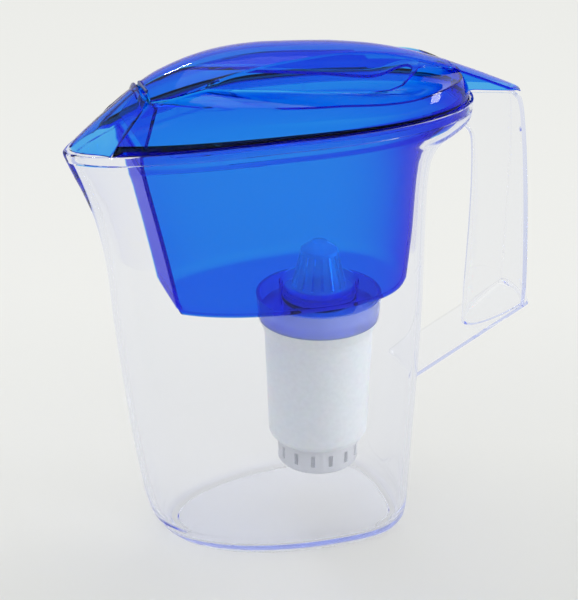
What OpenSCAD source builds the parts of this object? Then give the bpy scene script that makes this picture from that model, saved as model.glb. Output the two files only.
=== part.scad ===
/* [Jug] */
// Height of the jug's rim above the table, at the handle end
rim_z = 234; // [230:0.5:238]
// Thickness of the jug's clear wall
jug_wall = 2.4; // [2:0.1:2.6]
// How far the rim dips from the handle end down to the spout tip
rim_dip = 11.5; // [9:0.5:13]
// Height of the jug's inner floor
floor_z = 4.5; // [3.5:0.1:6]

/* [Funnel] */
// Height of the underside of the funnel's floor
funnel_floor_z = 136; // [132:1:140]
// Thickness of the funnel's wall
funnel_wall = 1.9; // [1.6:0.1:2.2]
// Depth of the plain lower step in the upper band
band_h = 10.5; // [9:0.5:12]

/* [Cartridge] */
// Distance of the cartridge's axis behind the middle of the base
cart_x = 21.7; // [18:0.1:24]
// Outer radius of the collar at the top of the cartridge
collar_r = 33; // [32:0.5:34]
// Outer radius of the cartridge's white body below the collar
body_r = 28.6; // [27.5:0.1:29]
// Outer radius of the outlet cap at the bottom
outlet_r = 21.6; // [20.5:0.1:23]
// Number of slots round the intake strainer
strainer_slots = 16; // [10:1:18]
// Number of slots round the outlet cap
outlet_slots = 14; // [10:1:18]

/* [Lid] */
// Thickness of the lid's mouldings
lid_wall = 1.8; // [1.5:0.1:2]
// Radius of the hinge pin
pin_r = 0.9; // [0.7:0.05:1]
// Radius of the hinge knuckles
knuckle_r = 2; // [1.9:0.05:2.1]

/* [Handle] */
// Half of the handle's width under the lid's tail
grip_half_top = 8.6; // [7.5:0.1:10]
// Half of the handle's width where it meets the strut
grip_half_low = 16.4; // [14:0.1:17]
// Thickness of the handle's moulded walls
grip_wall = 2; // [1.8:0.1:2.4]

/* [Hidden] */
$fn = 72;

// Small gap left between pieces that move apart
gap = 0.35;
// Points round one closed outline of the jug and of the lid
ring_n = 48;
// Points along the curve of one side of the funnel
side_n = 10;

// Jug from the foot up: height, front x, rear x, half width, x of the widest place,
// roundness of the front half and of the rear half
jug_rows = [
    [0, -62, 63, 45, 20, 2.05, 2.9],
    [6, -68, 66.2, 48.8, 20, 2.05, 2.9],
    [16, -73, 67.5, 49.6, 19, 2.05, 2.85],
    [45, -78.8, 69.5, 50.2, 16, 2, 2.8],
    [85, -84, 72.3, 50.6, 11, 2, 2.75],
    [125, -88.2, 74.3, 50.9, 7, 1.95, 2.7],
    [160, -91.2, 75, 51.1, 4, 1.9, 2.65],
    [190, -96.2, 76, 51.3, 2, 1.8, 2.55],
    [205, -100.4, 78.2, 51.4, 1, 1.72, 2.5],
    [213, -103, 82.5, 51.5, 0.5, 1.68, 2.45],
    [218, -104.9, 88.5, 51.5, 0, 1.65, 2.42],
    [222, -106.3, 96.5, 51.5, 0, 1.63, 2.4],
    [225.5, -107.6, 100.3, 51.6, 0, 1.61, 2.4],
    [235, -111, 101.5, 51.8, 0, 1.6, 2.4]];

// Funnel's tapering lower body: height, place of the flat front wall, then as the jug
funnel_rows = [
    [136, -59.5, -71, 67, 39.7, 14, 2, 2.4],
    [165, -65.3, -77.5, 69.8, 42.3, 9, 1.95, 2.4],
    [200, -72.4, -87, 72, 44.6, 4, 1.85, 2.4],
    [212, -74.9, -91, 75.4, 45.3, 2, 1.8, 2.4],
    [219, -76.3, -93.5, 81.5, 45.7, 1, 1.78, 2.4],
    [223.5, -77.2, -95.5, 88.5, 46, 0, 1.75, 2.4]];
ledge_z = rim_z - 4.5;
band_z = rim_z - band_h;
flange_top = rim_z - 0.2;

// Top strip of the flip lid and the nose in front of it:
// x, ridge height, half width, height at the strip's edge
strip_rows = [
    [-69.2, 255, 13.6, 249.8],
    [-60, 259.3, 18.6, 252.2],
    [-44, 264.6, 20, 257.4],
    [-28, 267.4, 19.6, 261.6],
    [-10, 268.5, 17.2, 263.6],
    [5, 267.8, 14.8, 264],
    [20, 266.6, 12.4, 264],
    [32, 265.3, 10.6, 263.4],
    [51, 262.2, 8.9, 260.7],
    [70, 257.2, 8, 255.8],
    [90, 250.2, 7.6, 249]];
// Bottom edge of the flip lid's side walls: x, half width, height
skirt_rows = [
    [-69.2, 13.5, 249.5],
    [-60, 18.7, 251.8],
    [-44, 20.6, 255.3],
    [-30, 20.6, 253.7],
    [-5, 20.6, 250.7],
    [30, 20.6, 245.9],
    [44, 20.2, 244.3],
    [52, 19.2, 243.9],
    [60, 17.2, 245.4],
    [67, 13.4, 249.5],
    [71, 10.6, 251.3],
    [76, 9, 250.6],
    [90, 8, 247.8]];
// Edge of the lid's sunk shelf: x, height
shelf_edge_rows = [
    [-79, 252], [-74, 251], [-69, 249.6], [-60, 250], [10, 250], [40, 247.6],
    [54, 247], [67, 247.6], [79, 248.4], [86, 248], [94, 246.4]];
// Inner edge of the shelf, round the filling opening: x, height
shelf_inner_rows = [
    [-76, 247], [-69, 248], [-60, 250.6], [-45, 254.4], [-30, 252.6], [-5, 249.7],
    [30, 244.8], [52, 242], [60, 243.6], [67, 248.2], [70, 250]];
// Ridge of the tail that covers the top of the handle: x, height, half width
tail_rows = [
    [90.6, 249.9, 7.6], [100, 245.9, 7.9], [110, 241.6, 7.8], [118, 238, 7.4],
    [125, 234.8, 6.6], [129, 232.9, 5.2], [130.6, 232, 3.6]];

// Nose of the lid over the spout: x, ridge height, half width, edge height
nose_rows = [
    [-69.8, 254.7, 12.6, 249.7], [-76, 250.6, 15.3, 243.1], [-83, 245, 17.3, 235.6],
    [-91.4, 238.6, 19.6, 226.8]];
pivot_x = -69.5;
pivot_z = 252.8;
hinge_out = pivot_x + knuckle_r + 0.4;

// Handle's finger side and its outer corners, from the rim down: x, z, x, z
grip_rows = [
    [99.5, 214, 101, 234.2], [102, 212.4, 112, 233.1], [104, 209.6, 122, 231.7],
    [105.2, 206, 127.6, 230.4], [105.8, 201, 129.6, 226.5], [106.3, 192, 131, 218],
    [106.6, 178, 132.6, 200], [106.5, 160, 133.8, 175], [106, 140, 134.4, 148],
    [105.4, 120, 134.4, 128], [105.2, 107, 134, 118], [105, 98.9, 133.6, 114.1]];
strut_low = [70, 80.5];
strut_high = [134, 114.6];
strut_half = 16.7;
strut_t = 2;
strut_bulge = 4;

function clamp(v) = min(1, max(0, v));
function ease(v) = let (c = clamp(v)) c * c * (3 - 2 * c);
function mix(a, b, f) = a + (b - a) * f;
function hat(v, n) = sign(v) * pow(abs(v), n);

// Smooth curve through the rows of a table, read at v from column c
function row_at(t, v, i = 0) = i >= len(t) - 2 || v <= t[i + 1][0] ? i : row_at(t, v, i + 1);
function tilt(t, i, c) =
    let (a = max(i - 1, 0), b = min(i + 1, len(t) - 1)) (t[b][c] - t[a][c]) / (t[b][0] - t[a][0]);
function curve(t, v, c) =
    let (
        i = row_at(t, v),
        h = t[i + 1][0] - t[i][0],
        u = clamp((v - t[i][0]) / h),
        p = t[i][c],
        q = t[i + 1][c],
        u2 = u * u,
        u3 = u2 * u)
    p * (2 * u3 - 3 * u2 + 1) + q * (3 * u2 - 2 * u3)
    + h * (tilt(t, i, c) * (u3 - 2 * u2 + u) + tilt(t, i + 1, c) * (u3 - u2));
// Straight lines between the rows, for edges with corners
function line_at(t, v, c) =
    let (i = row_at(t, v), u = clamp((v - t[i][0]) / (t[i + 1][0] - t[i][0])))
    mix(t[i][c], t[i + 1][c], u);

// The rim dips towards the spout, and the wall below it follows
function dip(x, z) = rim_dip * pow(clamp((-5 - x) / 106), 1.4) * ease((z - 150) / (rim_z - 150));
function rim_at(x, z) = z - dip(x, rim_z);

// Shape of the jug at a height: front, rear, half width, widest x, two roundnesses
function jug_shape(z, inset) =
    let (k = inset * (1 + 0.7 * ease((z - 150) / 70)))
    [curve(jug_rows, z, 1) + k, curve(jug_rows, z, 2) - inset, curve(jug_rows, z, 3) - inset,
        curve(jug_rows, z, 4), curve(jug_rows, z, 5), curve(jug_rows, z, 6)];
function funnel_shape(z, inset) =
    [curve(funnel_rows, z, 2) + inset, curve(funnel_rows, z, 3) - inset,
        curve(funnel_rows, z, 4) - inset, curve(funnel_rows, z, 5),
        curve(funnel_rows, z, 6), curve(funnel_rows, z, 7)];

// Point of a teardrop outline in plan, and the whole closed outline
function on_plan(s, a) =
    let (front = cos(a) < 0, e = 2 / (front ? s[4] : s[5]), reach = front ? s[3] - s[0] : s[1] - s[3])
    [s[3] + reach * hat(cos(a), e), s[2] * hat(sin(a), e)];
function plan(s, n = ring_n) = [for (i = [0:n - 1]) on_plan(s, 360 * i / n)];
// Half width of that outline at x
function half_at(s, x) =
    let (front = x < s[3], n = front ? s[4] : s[5],
        u = clamp(front ? (s[3] - x) / (s[3] - s[0]) : (x - s[3]) / (s[1] - s[3])))
    s[2] * pow(1 - pow(u, n), 1 / n);
// The same outline cut off by a flat front wall at x = w
function cut_plan(s, w) =
    let (
        rear = [for (i = [0:side_n]) let (a = 90 * i / side_n, e = 2 / s[5])
            [s[3] + (s[1] - s[3]) * pow(cos(a), e), s[2] * pow(sin(a), e)]],
        side = [for (i = [1:side_n]) let (x = s[3] - (s[3] - w) * sin(90 * i / side_n))
            [x, half_at(s, x)]],
        half = concat(rear, side, [[w, half_at(s, w) / 2]]),
        m = len(half))
    concat(half, [[w, 0]], [for (i = [m - 1:-1:1]) [half[i][0], -half[i][1]]]);

function lift(p, z) = [for (q = p) [q[0], q[1], z]];
function lift_dip(p, z) = [for (q = p) [q[0], q[1], z - dip(q[0], z)]];

// Skin over a row of closed outlines with equal numbers of points; a folded outline runs
// out along one face and back along the other, so its ends are closed pair by pair
module skin(rings, closed = false, folded = false) {
    n = len(rings[0]);
    m = len(rings);
    last = closed ? m - 1 : m - 2;
    side = [for (j = [0:last], i = [0:n - 1])
        let (k = (i + 1) % n, a = j * n, b = ((j + 1) % m) * n)
        each [[a + i, b + i, b + k], [a + i, b + k, a + k]]];
    far = (m - 1) * n;
    ends = closed ? []
        : folded ? [for (i = [0:n / 2 - 2], e = [0, 1]) let (a = i, b = i + 1, c = n - 2 - i, d = n - 1 - i)
            e == 0 ? [a, b, c, d] : [far + d, far + c, far + b, far + a]]
        : [[for (i = [0:n - 1]) i], [for (i = [n - 1:-1:0]) far + i]];
    polyhedron([for (r = rings) each r], concat(side, ends), convexity = 8);
}

// Heights at which the jug's wall is drawn
jug_levels = [2, 6, 14, 45, 85, 125, 155, 175, 190, 201, 208, 213.5, 218, 221.9, 224];
function jug_ring(z, inset = 0) = lift_dip(plan(jug_shape(z, inset)), z);
function jug_outer() = concat(
    [jug_ring(0)], [for (z = jug_levels) jug_ring(z)], [jug_ring(227.5), jug_ring(rim_z + 1)]);
// The inner face is drawn a little higher, which keeps the wall thick under the flared rim
rise = 2;
function jug_inner(z) = lift_dip(plan(jug_shape(z - rise, jug_wall)), z);

module jug_solid() {
    skin(jug_outer());
}

module jug_body() {
    foot = 5;
    inner_levels = [for (i = [len(jug_levels) - 1:-1:2]) jug_levels[i] + rise];
    color([0.86, 0.89, 0.95, 0.35])
        skin(concat(
            [lift(plan(jug_shape(0, foot)), 1.6), lift(plan(jug_shape(0, foot - 1)), 0)],
            jug_outer(),
            [lift_dip(plan(jug_shape(rim_z, 1.5)), rim_z + 1)],
            [lift_dip(plan(jug_shape(ledge_z, 1.5)), ledge_z)],
            [lift_dip(plan(jug_shape(ledge_z, jug_wall + 0.1)), ledge_z)],
            [for (z = inner_levels) jug_inner(z)],
            [lift(plan(jug_shape(6, jug_wall + 0.4)), 8),
                lift(plan(jug_shape(6, jug_wall + 2.4)), floor_z)]));
}

// The handle is a hollow well, open at the top under the lid's tail: a leaf-shaped wall round
// the finger side, and a gently bulging outer face from corner to corner
function grip_half(z) = mix(grip_half_low, grip_half_top, clamp((z - 115) / 115));
function grip_bulge(z) = mix(3.7, 0.5, clamp((z - 120) / 110));
function grip_point(r, d, y) =
    let (way = [r[2] - r[0], r[3] - r[1]] / norm([r[2] - r[0], r[3] - r[1]]))
    [r[0] + way[0] * d, y, r[1] + way[1] * d];
function grip_length(r) = norm([r[2] - r[0], r[3] - r[1]]);
function grip_leaf(r, t) = [for (i = [-6:6])
    let (a = 15 * i, d = t + (grip_length(r) - t) * (1 - pow(cos(a), 1.25)))
    grip_point(r, d, (grip_half(r[3]) - t) * hat(sin(a), 0.9))];
function grip_face(r, t) = [for (j = [3:-1:-3])
    grip_point(r, grip_length(r) - 0.3 - t + grip_bulge(r[3]) * (1 - j * j / 9),
        (grip_half(r[3]) - 0.6) * j / 3)];
function folded(a, b) = concat(a, [for (i = [len(b) - 1:-1:0]) b[i]]);

module handle_grip() {
    color([0.86, 0.89, 0.95, 0.35])
        difference() {
            union() {
                skin([for (r = grip_rows) folded(grip_leaf(r, 0), grip_leaf(r, grip_wall))],
                    folded = true);
                skin([for (i = [3:len(grip_rows) - 1])
                    folded(grip_face(grip_rows[i], 0), grip_face(grip_rows[i], grip_wall))],
                    folded = true);
            }
            jug_solid();
        }
}

module handle_strut() {
    rise_a = atan2(strut_high[1] - strut_low[1], strut_high[0] - strut_low[0]);
    run = norm(strut_high - strut_low);
    end = [for (i = [-6:6]) [run + strut_bulge * cos(15 * i), strut_half * sin(15 * i)]];
    color([0.86, 0.89, 0.95, 0.35])
        difference() {
            translate([strut_low[0], 0, strut_low[1]])
                rotate([0, -rise_a, 0])
                    translate([0, 0, -strut_t])
                        linear_extrude(strut_t)
                            polygon(concat([[-4, -strut_half]], end, [[-4, strut_half]]));
            jug_solid();
        }
}

// Neck under the funnel's floor, which the cartridge's collar screws onto
neck_r = 21;
neck_bore_r = 19.5;
neck_low_z = funnel_floor_z - 12.5;

module funnel() {
    body_levels = [funnel_floor_z + 5, 165, 185, 200, 208, 213.5, 218, 221, band_z];
    w = funnel_wall;
    up = 1.4;
    body = [for (z = body_levels)
        lift_dip(cut_plan(funnel_shape(z, 0), curve(funnel_rows, z, 1)), z)];
    inside = [for (i = [len(body_levels) - 1:-1:0]) let (z = body_levels[i])
        lift_dip(cut_plan(funnel_shape(z, w), curve(funnel_rows, z, 1) + w), z + up)];
    front = curve(funnel_rows, band_z, 1);
    band = jug_wall + 0.1 + gap;
    flange = 1.5 + gap;
    color([0.1, 0.35, 1, 0.55])
        difference() {
            union() {
                skin(concat(
                    [lift(cut_plan(funnel_shape(136, 5), curve(funnel_rows, 136, 1) + 4), funnel_floor_z)],
                    [lift(cut_plan(funnel_shape(137, 1.4), curve(funnel_rows, 137, 1) + 1),
                        funnel_floor_z + 1.5)],
                    body,
                    [lift_dip(cut_plan(jug_shape(band_z - rise, band), front - 0.4), band_z + 0.4)],
                    [lift_dip(cut_plan(jug_shape(226 - rise, band), front - 0.8), 226)],
                    [lift_dip(cut_plan(jug_shape(ledge_z - rise, band), front - 1), ledge_z + gap)],
                    [lift_dip(cut_plan(jug_shape(ledge_z, flange), front - 1.2), ledge_z + gap)],
                    [lift_dip(cut_plan(jug_shape(flange_top, flange), front - 1.4), flange_top)],
                    [lift_dip(cut_plan(jug_shape(flange_top, band + w), front + 1), flange_top)],
                    [lift_dip(cut_plan(jug_shape(ledge_z - rise, band + w), front + 1), ledge_z + up)],
                    [lift_dip(cut_plan(jug_shape(band_z - rise, band + w), front + 1.4),
                        band_z + w + 0.6)],
                    inside,
                    [lift(cut_plan(funnel_shape(137, 3.4), curve(funnel_rows, 137, 1) + 3),
                        funnel_floor_z + 3.4)],
                    [lift(cut_plan(funnel_shape(136, 7), curve(funnel_rows, 136, 1) + 6),
                        funnel_floor_z + w)]));
                translate([cart_x, 0, neck_low_z])
                    cylinder(r = neck_r, h = funnel_floor_z + 1 - neck_low_z);
                // Small upright ribs inside the upper band
                for (x = [-42, 28], s = [-1, 1])
                    translate([x, s * (half_at(jug_shape(226 - rise, band + w), x) + 0.6), 227.2 - dip(x, 227)])
                        cube([1.6, 2.2, 6.2], center = true);
            }
            translate([cart_x, 0, neck_low_z - 1])
                cylinder(r = neck_bore_r, h = funnel_floor_z + 10 - neck_low_z);
        }
}

// Outlines of the lid in plan, from its rim to the filling opening
lid_low = rim_z + 0.2;
function lid_rim_shape(inset) = jug_shape(rim_z, 2 + inset);
edge_shape = [-79, 94, 47, 10, 1.5, 2.6];
opening_shape = [-76, 70, 19, -10, 3, 2.6];

// Rim, edge of the shelf and edge of the opening as points in space
function rim_point(a, inset, z) =
    let (p = on_plan(lid_rim_shape(inset), a)) [p[0], p[1], z - dip(p[0], z)];
function edge_point(a, inset, down) =
    let (p = on_plan(edge_shape + inset * [1, -1, -1, 0, 0, 0], a))
    [p[0], p[1], curve(shelf_edge_rows, p[0], 1) - down];
function opening_point(a, down) =
    let (p = on_plan(opening_shape, a)) [p[0], p[1], curve(shelf_inner_rows, p[0], 1) - down];
// The skirt bulges outwards at the sides: share at the ends, share at the sides, bulge
skirt_bulge = [[0.1, 0.42, 0], [0.35, 0.62, 1.4], [0.7, 0.86, 0.6]];
function skirt_point(a, row, inset) =
    let (
        b = skirt_bulge[row],
        side = abs(sin(a)),
        k = mix(b[0], b[1], side),
        low = rim_point(a, inset, lid_low),
        top = edge_point(a, inset, inset),
        out = b[2] * ease((side - 0.5) * 2) * sign(low[1]))
    [mix(low[0], top[0], k), mix(low[1], top[1], k) + out, mix(low[2], top[2], b[1])];
// Lip that drops inside the funnel's rim, left out over the spout
function lip_point(a, inset) =
    let (p = rim_point(a, inset, lid_low)) [p[0], p[1], p[2] - 0.05 - 3.3 * ease((p[0] + 70) / 8)];
function lid_point(k, a) =
    let (t = lid_wall)
    k == 0 ? lip_point(a, 4.2)
    : k == 1 ? rim_point(a, 4.2, lid_low)
    : k == 2 ? rim_point(a, 0, lid_low)
    : k <= 5 ? skirt_point(a, k - 3, 0)
    : k == 6 ? edge_point(a, 0, 0)
    : k == 7 ? mix(edge_point(a, 0, 0), opening_point(a, 0), 0.5)
    : k == 8 ? opening_point(a, 0)
    : k == 9 ? opening_point(a, t)
    : k == 10 ? mix(edge_point(a, t, t), opening_point(a, t), 0.5)
    : k == 11 ? edge_point(a, t, t)
    : k <= 14 ? skirt_point(a, 14 - k, t)
    : k == 15 ? rim_point(a, t, lid_low + 2)
    : k == 16 ? rim_point(a, 5.6, lid_low + 2)
    : lip_point(a, 5.6);

// Half width of the spout flap at x, and the angle at which a line of the lid reaches it
flap_rows = [[-120, 27.5], [-91.4, 19.6], [-83, 17.3], [-76, 15.4], [-69.8, 13.7], [-60, 13]];
function in_flap(p, grow) = p[0] < pivot_x + 0.8 && abs(p[1]) < line_at(flap_rows, p[0], 1) + grow;
function cut_angle(k, lo = 95, hi = 180, i = 0) =
    let (mid = (lo + hi) / 2)
    i > 14 ? lo : in_flap(lid_point(k, mid), 0.6) ? cut_angle(k, lo, mid, i + 1)
    : cut_angle(k, mid, hi, i + 1);

module knuckle(y0, y1, r = knuckle_r) {
    translate([pivot_x, y0, pivot_z])
        rotate([-90, 0, 0])
            cylinder(r = r, h = y1 - y0);
}

module pin_bore() {
    knuckle(-9, 9, pin_r + 0.05);
}

// Block seen from the side, from y0 to y1
module side_block(pts, y0, y1) {
    translate([0, y1, 0])
        rotate([90, 0, 0])
            linear_extrude(y1 - y0)
                polygon(pts);
}

ear_y = [4.9, 7.4];
flap_y = [2.1, 4.6];
flip_y = 1.8;

module lid_shell() {
    n = 44;
    ends = [for (k = [0:17]) cut_angle(k)];
    skin([for (i = [0:n]) [for (k = [0:17]) lid_point(k, mix(ends[k], -ends[k], i / n))]], folded = true);
}

// Tail of the lid, an upturned trough that closes the top of the handle
function tail_low(x) = 235.5 - 0.14 * max(0, x - 103);
function tail_ring(r) =
    let (
        x = r[0],
        w = r[2],
        z = r[1],
        low = min(tail_low(x), z - 1.6),
        top = [for (i = [-4:4]) [x, -w * i / 4, z - 1.3 * pow(i / 4, 2)]],
        v = max(w - lid_wall, 0.8),
        under = [for (i = [4:-1:-4]) [x, -v * i / 4, max(z - lid_wall - 1.3 * pow(i / 4, 2), low + 0.2)]])
    concat([[x, w, low]], top, [[x, -w, low], [x, -v, low]], under, [[x, v, low]]);

module tail() {
    skin([for (r = tail_rows) tail_ring(r)], folded = true);
    root = tail_rows[0][0] + 0.7;
    side_block([[root, 246.2], [root, 236.1], [98, 235.9], [98, 243]], -6.9, 6.9);
}

module lid_frame() {
    color([0.1, 0.3, 1, 0.6])
        difference() {
            union() {
                lid_shell();
                tail();
                // Partition between the filling opening and the spout
                intersection() {
                    side_block([[-66.3, 246.7], [-68.1, 246.7], [-76.2, 231], [-75, 230.2]], -30, 30);
                    skin([for (k = [0:3]) [for (i = [0:ring_n - 1])
                        let (a = 360 * i / ring_n)
                        k < 2 ? rim_point(a, 1, lid_low - 6 + 6 * k)
                        : k == 2 ? edge_point(a, 1, 1) : opening_point(a, 0.6)]]);
                }
                for (s = [-1, 1])
                    side_block([[pivot_x - 1.6, pivot_z], [pivot_x + 2.2, pivot_z],
                        [-65.4, 245], [-69.5, 244]], min(s * ear_y[0], s * ear_y[1]),
                        max(s * ear_y[0], s * ear_y[1]));
                for (s = [-1, 1])
                    knuckle(min(s * ear_y[0], s * ear_y[1]), max(s * ear_y[0], s * ear_y[1]));
            }
            pin_bore();
        }
}

// Cross section of an arched cover: strip s = [ridge, half width, edge height],
// side walls down to half width w and height low
function arch_ring(x, s, w, low, t) =
    let (
        top = [for (i = [-5:5]) [x, -s[1] * i / 5, s[0] - (s[0] - s[2]) * pow(i / 5, 2)]],
        under = [for (p = top) [x, p[1] * (s[1] - t) / s[1], p[2] - t]],
        m = len(top),
        mid = mix(s[1], w, 0.5),
        mid_z = mix(s[2], low, 0.5))
    concat([[x, w, low], [x, mid, mid_z]], top, [[x, -mid, mid_z], [x, -w, low], [x, t - w, low],
        [x, t - mid, min(mid_z, s[2] - t)]], [for (i = [m - 1:-1:0]) under[i]],
        [[x, mid - t, min(mid_z, s[2] - t)], [x, w - t, low]]);

module flip_lid() {
    xs = [-69.2, -65, -60, -52, -44, -36, -28, -19, -10, 0, 10, 20, 32, 42, 52, 57, 62, 67, 71, 76, 83, 90];
    t = lid_wall;
    color([0.05, 0.2, 0.95, 0.65])
        difference() {
            union() {
                difference() {
                    skin([for (x = xs) arch_ring(x,
                        [curve(strip_rows, x, 1), curve(strip_rows, x, 2), curve(strip_rows, x, 3)],
                        line_at(skirt_rows, x, 1), line_at(skirt_rows, x, 2), t)], folded = true);
                    side_block([[-75, 240], [-75, 262], [hinge_out, 262], [hinge_out, 240]], -7.9, 7.9);
                }
                side_block([[pivot_x, pivot_z + knuckle_r - 0.1], [pivot_x, pivot_z - 1], [-63.5, 254.9],
                    [-63.5, 256.9]], -flip_y, flip_y);
                knuckle(-flip_y, flip_y);
            }
            pin_bore();
        }
}

module spout_flap() {
    xs = [-69.9, -74.2, -77, -80, -84, -88, -91.4, -95, -99, -103, -105.6, -107.2];
    t = lid_wall;
    rim = lid_rim_shape(0);
    tip = nose_rows[3][0];
    color([0.15, 0.4, 1, 0.55])
        difference() {
            union() {
                skin([for (i = [len(xs) - 1:-1:0])
                    let (
                        x = xs[i],
                        u = (x - tip) / (-110 - tip),
                        ahead = x < tip,
                        side = half_at(rim, x),
                        w = ahead ? min(side, mix(nose_rows[3][2], side, clamp(u * 4)))
                            : line_at([for (k = [3:-1:0]) nose_rows[k]], x, 2),
                        edge = ahead ? mix(nose_rows[3][3], rim_at(x, rim_z) + 2.4, clamp(u * 2.5))
                            : line_at([for (k = [3:-1:0]) nose_rows[k]], x, 3),
                        ridge = ahead ? mix(nose_rows[3][1], 224.6, pow(u, 0.92))
                            : line_at([for (k = [3:-1:0]) nose_rows[k]], x, 1))
                    [for (p = arch_ring(x, [ridge, w, edge], w + 0.05, edge - (ahead ? 1 : 1.2),
                        min(t, w * 0.45)))
                        [p[0] - (i > 0 ? 0 : 3.2 * clamp((p[2] - 248.4) / 2.4)), p[1], p[2]]]],
                    folded = true);
                for (s = [-1, 1])
                    side_block([[pivot_x, pivot_z + knuckle_r - 0.1], [-75, 250.3], [-75, 248.9],
                        [pivot_x, pivot_z - knuckle_r + 0.1]], min(s * flap_y[0], s * flap_y[1]),
                        max(s * flap_y[0], s * flap_y[1]));
                for (s = [-1, 1])
                    knuckle(min(s * flap_y[0], s * flap_y[1]), max(s * flap_y[0], s * flap_y[1]));
            }
            pin_bore();
        }
}

module hinge_pin() {
    color([0.1, 0.2, 0.8])
        knuckle(-ear_y[1], ear_y[1], pin_r);
}

// Cartridge, turned about its own axis
collar_top = neck_low_z + 6.5;
collar_low = collar_top - 13;
module turned(points) {
    translate([cart_x, 0, 0])
        rotate_extrude()
            polygon(points);
}

module cartridge_body() {
    t = 1.6;
    bed_low = 50;
    foot_r = 26.6;
    cap_z = 45;
    color([0.93, 0.94, 0.95])
        turned([[collar_r - 1, collar_low], [collar_r - 2.4, collar_low - 3.4],
            [body_r + 0.6, collar_low - 7], [body_r, collar_low - 10.5], [foot_r, bed_low],
            [foot_r - 0.8, bed_low - 2], [outlet_r + 0.6, cap_z], [outlet_r - t, cap_z],
            [outlet_r - t, cap_z + 1.2], [foot_r - t - 0.8, bed_low - 1], [foot_r - t, bed_low],
            [body_r - t, collar_low - 10.5], [body_r - t, collar_low - 6],
            [collar_r - 3.6, collar_low]]);
}

// Cup-shaped collar with the spigot that enters the funnel's neck
spigot_r = neck_bore_r - 0.4;
spigot_top = funnel_floor_z - 4.5;
seal_z = funnel_floor_z - 8.5;
module cartridge_collar() {
    t = 1.7;
    plate = collar_low + 3;
    groove = 1.3;
    bore = 15;
    color([0.55, 0.62, 0.98, 0.8])
        turned([[collar_r - 1, collar_low], [collar_r, collar_top], [collar_r - t, collar_top],
            [collar_r - t - 0.9, plate + 1.8], [neck_r + 2.5, plate], [spigot_r, plate],
            [spigot_r, seal_z - groove], [spigot_r - 1.85, seal_z - groove],
            [spigot_r - 1.85, seal_z + groove], [spigot_r, seal_z + groove],
            [spigot_r, spigot_top], [bore, spigot_top], [bore, collar_low],
            [collar_r - 3.6, collar_low]]);
}

module neck_seal() {
    section_r = 1.05;
    color([0.1, 0.1, 0.12])
        translate([cart_x, 0, seal_z])
            rotate_extrude()
                translate([neck_bore_r - 0.05 - section_r, 0])
                    circle(r = section_r, $fn = 24);
}

// Domed strainer that stands up through the funnel's floor
module intake_strainer() {
    low = spigot_top;
    h = 23.5;
    t = 1.2;
    foot_r = 14.6;
    top_r = 9.6;
    crown_r = 4.2;
    color([0.75, 0.82, 1, 0.5])
        difference() {
            turned([[bore_flange(), low], [bore_flange(), low + 1.5], [foot_r, low + 2.4],
                [top_r, low + h], [crown_r + 2, low + h + 2.6], [crown_r, low + h + 4.2],
                [0, low + h + 4.6], [0, low + h + 4.6 - t], [crown_r - 0.6, low + h + 3],
                [top_r - t - 0.6, low + h], [foot_r - t, low + 2.4], [foot_r - t, low]]);
            for (i = [0:strainer_slots - 1])
                translate([cart_x, 0, 0])
                    rotate([0, 0, 360 * (i + 0.5) / strainer_slots])
                        translate([6, -0.8, low + 4])
                            cube([12, 1.6, h - 6]);
        }
}
function bore_flange() = spigot_r - 1.2;

module top_pad() {
    color([0.95, 0.95, 0.9])
        turned([[0, collar_low - 4], [0, collar_low - 0.4], [body_r - 0.4, collar_low - 0.4],
            [body_r - 2, collar_low - 4]]);
}

module sorbent_bed() {
    color([0.15, 0.14, 0.13])
        turned([[0, 50.6], [0, collar_low - 4.4], [body_r - 2, collar_low - 4.4],
            [body_r - 2, collar_low - 10.5], [24.8, 50.6]]);
}

module bottom_pad() {
    color([0.95, 0.95, 0.9])
        turned([[0, 46.6], [0, 50.2], [24.6, 50.2], [24, 48.9], [20.2, 46.6]]);
}

// Outlet cap with slots round its side
module outlet_cap() {
    low = 31;
    top = 45;
    t = 1.6;
    color([0.9, 0.91, 0.93])
        difference() {
            turned([[0, low], [outlet_r - 1.4, low], [outlet_r, low + 1.4], [outlet_r, top],
                [outlet_r - t, top], [outlet_r - t, low + t + 0.6], [0, low + t + 0.6]]);
            for (i = [0:outlet_slots - 1])
                translate([cart_x, 0, 0])
                    rotate([0, 0, 360 * (i + 0.5) / outlet_slots])
                        translate([outlet_r - 4, -1.2, low + 4.5])
                            cube([8, 2.4, 6.5]);
        }
}

// Everything is drawn about the middle of the foot, then moved to the middle of the whole length
frame_x = -13.3;
module placed() {
    translate([frame_x, 0, 0])
        children();
}

placed() jug_body();
placed() handle_grip();
placed() handle_strut();
placed() funnel();
placed() lid_frame();
placed() flip_lid();
placed() spout_flap();
placed() hinge_pin();
placed() cartridge_body();
placed() cartridge_collar();
placed() neck_seal();
placed() intake_strainer();
placed() top_pad();
placed() sorbent_bed();
placed() bottom_pad();
placed() outlet_cap();
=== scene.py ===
# %% [markdown]
# # A clear pitcher with a blue filling funnel
#
# The object is a water filter pitcher: a clear jug with a hollow handle, a tinted funnel that hangs
# inside it, a filter cartridge held under the funnel, and a tinted lid with two flaps on one hinge
# pin. The CAD model gives every piece its size and place. Blender gives the smooth walls and the
# plastics. This cell loads the CAD model.

import math

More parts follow.
